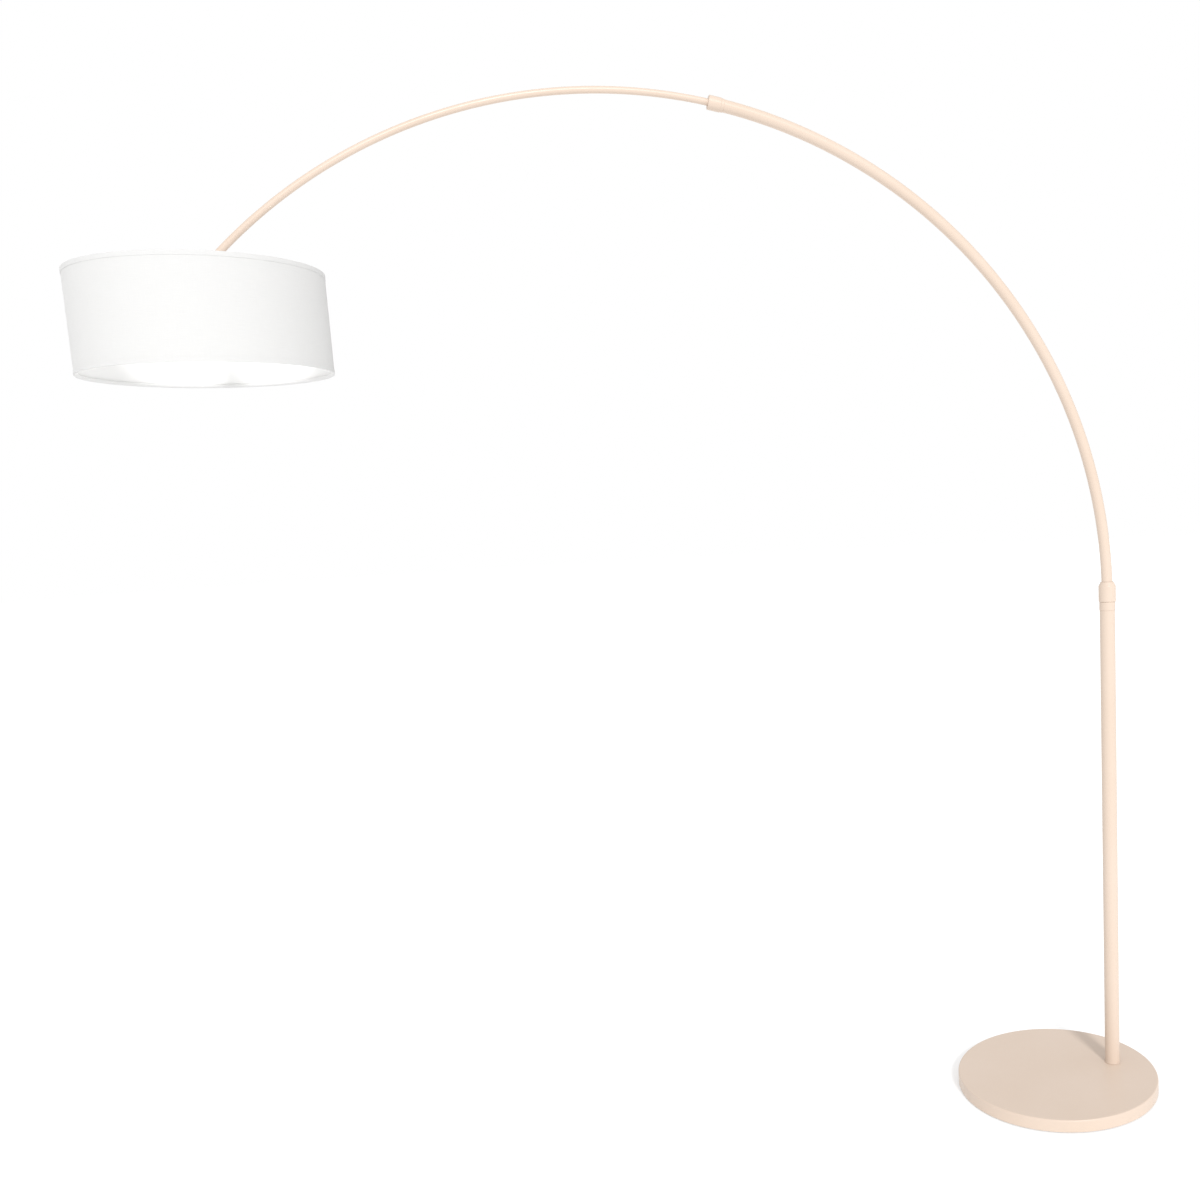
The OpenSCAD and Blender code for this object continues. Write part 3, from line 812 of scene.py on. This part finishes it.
def make_bulb():
    """The bulb: an opal ball that runs into a neck, and a screw cap."""
    centre = BULB_LOW + BULB_R
    neck_r, neck_low, neck_high = 13 * MM, BULB_TIP - 37 * MM, BULB_TIP - 25 * MM
    ball_start, ball_end, ball_steps = -math.pi / 2, math.radians(38), 40
    points = []
    for k in range(ball_steps + 1):
        angle = ball_start + (ball_end - ball_start) * k / ball_steps
        points.append(Vector((BULB_R * math.cos(angle), centre + BULB_R * math.sin(angle), 0)))
    start, end = points[-1], Vector((neck_r, neck_low, 0))
    leave = start + Vector((-math.sin(ball_end), math.cos(ball_end), 0)) * 3 * MM
    arrive = end - Vector((0, 2.5 * MM, 0))
    points += bezier(start, leave, arrive, end, 8)
    points += [Vector((neck_r, neck_high, 0)), Vector((0, neck_high, 0))]
    glass = Solid().turned(points, upright(PIVOT.x)).piece("bulb_opal")
    fit(glass, "head", "bulb_glass", "bulb_glass")

    root, crest, pitch, first_thread = 12.75 * MM, 13.25 * MM, 3.6 * MM, BULB_TIP - 23.5 * MM
    thread = []
    for turn in range(5):
        up = first_thread + pitch * turn
        thread += [(root, up, 0.5 * MM), (crest, up + pitch / 2, 0.5 * MM)]
    cap = held(rounded([
        (0, neck_high), (13.2 * MM, neck_high, 0.3 * MM), *thread,
        (12.6 * MM, BULB_TIP - 5 * MM, 0.8 * MM), (5 * MM, BULB_TIP - 1 * MM, 0.5 * MM),
        (4.5 * MM, BULB_TIP, 0.5 * MM), (0, BULB_TIP)]), margin=0.2 * MM)
    screw_cap = Solid().turned(cap, upright(PIVOT.x), around=72).piece("bulb_screw_cap")
    fit(screw_cap, "head", "zinc_steel", "bulb_cap")


# ---- shade ----

def smooth_step(value):
    """Goes gently from 0 to 1 while value goes from 0 to 1."""
    value = min(1, max(0, value))
    return value * value * (3 - 2 * value)


def lap_lift(turn):
    """How far the cloth stands out round the drum, because its end lies over its start."""
    past = (turn - LAP_TURN + math.pi) % FULL_TURN - math.pi
    rising = smooth_step((past + LAP_RISE) / LAP_RISE)
    falling = 1 - smooth_step((past - LAP / SHADE_R) / LAP_FALL)
    return CLOTH * rising * falling


def waviness(turn, height):
    """Slight unevenness of a hand-rolled drum, in broad and in smaller waves."""
    place = Vector((math.cos(turn), math.sin(turn), (height - SHADE_LOW) * 4))
    return 0.22 * MM * noise.noise(place * 2.1) + 0.1 * MM * noise.noise(place * 7.3)


def make_fabric(hems):
    """The cloth: one sheet rolled into the drum, with its end glued over its start at the back."""
    columns, rows = 560, 20
    whole = FULL_TURN + LAP / SHADE_R
    glue = 0.02 * MM
    solid, layers = Solid(), []
    for depth in (0, CLOTH):
        layer = []
        for i in range(columns + 1):
            swept = whole * i / columns
            turn = LAP_TURN + swept
            lift = CLOTH * smooth_step((swept - FULL_TURN + LAP_RISE) / LAP_RISE)
            gap = glue if lift else 0
            column = []
            for j in range(rows + 1):
                height = SHADE_LOW + (SHADE_HIGH - SHADE_LOW) * j / rows
                radius = SHADE_R - CLOTH + depth + lift + gap + waviness(turn, height)
                column.append(len(solid.verts))
                solid.verts.append(Vector((PIVOT.x + radius * math.cos(turn),
                                           PIVOT.y + radius * math.sin(turn), height)))
            layer.append(column)
        layers.append(layer)
    inside, outside = layers
    for i in range(columns):
        here = inside[i] + outside[i][::-1]
        beside = inside[i + 1] + outside[i + 1][::-1]
        solid.grid([here, beside], closed=False)
    for end in (0, columns):
        for j in range(rows):
            solid.faces.append([inside[end][j], inside[end][j + 1], outside[end][j + 1], outside[end][j]])
    cloth = fit(solid.piece("drum_cloth", 50), "head", "shade_fabric", "shade_fabric")


def make_liner():
    """The film inside the cloth."""
    outer = SHADE_R - CLOTH - 0.32 * MM           # clear of the cloth's unevenness
    inner = outer - FILM + 0.3 * MM
    outline = held(rounded([
        (outer, SHADE_LOW), (outer, SHADE_HIGH), (inner, SHADE_HIGH), (inner, SHADE_LOW)]),
        margin=0.1 * MM, longest=20 * MM)
    film = Solid().turned(outline, upright(PIVOT.x), around=256)
    fit(film.piece("drum_film"), "head", "shade_liner", "shade_liner")


def make_hems():
    """The strips that are rolled over the wire at the drum's upper and lower edge."""
    def section(edge, inward):
        """Cross-section at an edge; inward is -1 where the drum lies below it, and 1 above.
        Its corners are (radius, distance in from the edge in mm, fillet in mm)."""
        width = 8.0                               # of the strip, up the drum's outside
        face, back, cloth = SHADE_R + 0.6 * MM, SHADE_R - 1.6 * MM, SHADE_R + 0.02 * MM
        wire = WIRE_RING_R
        across = [
            (face, width, 0.2), (face, -0.6, 0.6), (back, -0.55, 1.2), (wire - 1.0 * MM, 0.9, 2.2),
            (wire - 2.7 * MM, 3.4, 1.6), (wire - 2.3 * MM, 6.4, 1.4), (back, 7.4, 0), (back, 6.8, 0),
            (wire - 1.8 * MM, 5.9, 1.1), (wire - 2.15 * MM, 3.7, 1.3), (wire - 0.7 * MM, 1.45, 1.8),
            (back - 0.2 * MM, 0.05, 0.8), (cloth, 0, 0), (cloth, width, 0)]
        corners = [(radius, edge + inward * down * MM, fillet * MM) for radius, down, fillet in across]
        return held(rounded(corners, steps=4), margin=0.15 * MM, longest=2 * MM)

    def follow(turn, point):
        """Lets the part of the strip that lies on the cloth follow it."""
        if point.x < SHADE_R - 1 * MM:
            return 0
        return lap_lift(turn) + waviness(turn, point.y)

    hems = []
    for name, node, edge, inward in (("upper_hem", "shade_top_hem", SHADE_HIGH, -1),
                                     ("lower_hem", "shade_bottom_hem", SHADE_LOW, 1)):
        hem = Solid().turned(section(edge, inward), upright(PIVOT.x), around=560, shape=follow)
        hems.append(fit(hem.piece(name, 60), "head", "shade_fabric", node))
    return hems


def wire_ring(solid, height, steps=16):
    """Adds a ring of round wire at this height."""
    turns = [FULL_TURN * k / steps for k in range(steps)]
    section = [Vector((WIRE_RING_R + WIRE_R * math.cos(turn), height + WIRE_R * math.sin(turn), 0))
               for turn in turns]
    return solid.turned(section, upright(PIVOT.x), around=192)


def make_wires():
    """The upper ring with its three arms and hub, and the loose lower ring."""
    arm_r, arm_fillet = 1.6 * MM, 14 * MM
    hub_hole, hub_r, hub_thick = 19.6 * MM, 32 * MM, 2 * MM
    hub_low, ring_inset = hanging(HUB_LOW), 4 * MM
    ring_z = SHADE_HIGH - ring_inset
    wires = wire_ring(Solid(), ring_z)
    hub = ring_outline(hub_hole, hub_r, hub_low, hub_low + hub_thick, 0.5 * MM, margin=0.25 * MM)
    wires.turned(hub, upright(PIVOT.x))
    arm_line = [                                  # distance from the axis, height, fillet
        (hub_r - 4 * MM, hub_low + 1.4 * MM, 0), (hub_r + 5 * MM, hub_low + 2.4 * MM, arm_fillet),
        (WIRE_RING_R - 12 * MM, ring_z - 3.2 * MM, arm_fillet), (WIRE_RING_R, ring_z, 0)]
    for degrees in (60, 180, 300):
        turn = math.radians(degrees)
        out = Vector((math.cos(turn), math.sin(turn), 0))
        axis = Vector((PIVOT.x, PIVOT.y, 0))
        corners = [(axis + out * radius + Z * height, fillet) for radius, height, fillet in arm_line]
        wires.wire(rounded(corners, closed=False, steps=8), arm_r)
    fit(wires.piece("wire_frame"), "head", "zinc_steel", "shade_spider")
    lower = wire_ring(Solid(), SHADE_LOW + ring_inset)
    fit(lower.piece("lower_wire_ring"), "head", "zinc_steel", "shade_bottom_ring")


# ---- floor, light and camera ----

def make_floor():
    """A pale studio floor that turns into plain white round the base, so that no horizon shows."""
    floor_r, floor_thick = 30, 0.01
    fade_start, fade_end, least = 0.25, 0.9, 0.35
    finish = Finish("studio_floor")
    away = finish.node("ShaderNodeVectorMath", {"operation": "LENGTH"}, _0=finish.place).outputs["Value"]
    fade = finish.between(away, least, 1, fade_start, fade_end)
    diffuse = finish.node("ShaderNodeBsdfDiffuse", Color=(0.93, 0.93, 0.93, 1))
    glow = finish.node("ShaderNodeEmission", Color=WHITE, Strength=1.2)
    mix = finish.node("ShaderNodeMixShader", _0=fade, _1=diffuse.outputs[0], _2=glow.outputs[0])
    output = finish.tree.nodes["Material Output"]
    finish.tree.links.new(mix.outputs[0], output.inputs["Surface"])
    outline = rounded([(0, 0), (floor_r, 0), (floor_r, -floor_thick), (0, -floor_thick)])
    floor = Solid().turned(outline, upright(0), around=128).piece("studio_floor")
    floor.location.z = -0.2 * MM
    floor.data.materials.append(finish.material)


def make_world(ambient):
    """Even soft light from all round, seen as plain white."""
    world = bpy.data.worlds.new("studio")
    bpy.context.scene.world = world
    world.use_nodes = True
    nodes, links = world.node_tree.nodes, world.node_tree.links
    light, backdrop = nodes["Background"], nodes.new("ShaderNodeBackground")
    for background, strength in ((light, ambient), (backdrop, 1.0)):
        background.inputs["Color"].default_value = WHITE
        background.inputs["Strength"].default_value = strength
    path, mix = nodes.new("ShaderNodeLightPath"), nodes.new("ShaderNodeMixShader")
    links.new(path.outputs["Is Camera Ray"], mix.inputs[0])
    links.new(light.outputs[0], mix.inputs[1])
    links.new(backdrop.outputs[0], mix.inputs[2])
    links.new(mix.outputs[0], nodes["World Output"].inputs["Surface"])


def make_lights():
    """A soft key light from straight in front, even light all round, and a weak glow in the shade."""
    make_world(ambient=0.83)
    elevation = math.radians(30)
    sun = bpy.data.lights.new("key", "SUN")
    sun.energy, sun.angle = 2.0, math.radians(9)
    key = bpy.data.objects.new("key", sun)
    bpy.context.scene.collection.objects.link(key)
    key.rotation_euler = (Y - math.tan(elevation) * Z).to_track_quat("-Z", "Y").to_euler()

    glow = bpy.data.lights.new("bulb_light", "POINT")
    glow.energy, glow.shadow_soft_size = 0.5, BULB_R + 2 * MM
    bulb = bpy.data.objects.new("bulb_light", glow)
    bpy.context.scene.collection.objects.link(bulb)
    bulb.location = (PIVOT.x, PIVOT.y, BULB_LOW - 10 * MM)
    bulb.parent = frame["bodies"]["head"]


def make_camera():
    """The photograph's view: from the front, left of the pole, turned to the right and looking down."""
    place = Vector((-1.2489178, -2.5529454, 1.4441049))
    yaw, pitch, roll = 0.2365, 0.14432, -0.05012
    level_right = Vector((math.cos(yaw), -math.sin(yaw), 0))
    level_ahead = Vector((math.sin(yaw), math.cos(yaw), 0))
    ahead = math.cos(pitch) * level_ahead - math.sin(pitch) * Z
    level_up = math.sin(pitch) * level_ahead + math.cos(pitch) * Z
    right = math.cos(roll) * level_right + math.sin(roll) * level_up
    up = math.cos(roll) * level_up - math.sin(roll) * level_right
    data = bpy.data.cameras.new("photo_camera")
    data.sensor_width, data.lens, data.clip_end = 36, 36.242667, 100
    data.shift_x, data.shift_y = -0.153456, 0.062155
    camera = bpy.data.objects.new("photo_camera", data)
    bpy.context.scene.collection.objects.link(camera)
    turn = Matrix((right, up, -ahead)).transposed().to_4x4()
    camera.matrix_world = Matrix.Translation(place) @ turn
    bpy.context.scene.camera = camera


def main():
    dress_cad_nodes()
    make_base()
    make_gland()
    make_pole()
    make_pole_collar()
    make_arm()
    make_arm_collar()
    make_rod()
    make_hanger()
    make_holder()
    make_bulb()
    make_wires()
    make_liner()
    make_fabric(make_hems())
    make_floor()
    make_lights()
    make_camera()
    bpy.context.scene.view_settings.view_transform = "Standard"


main()
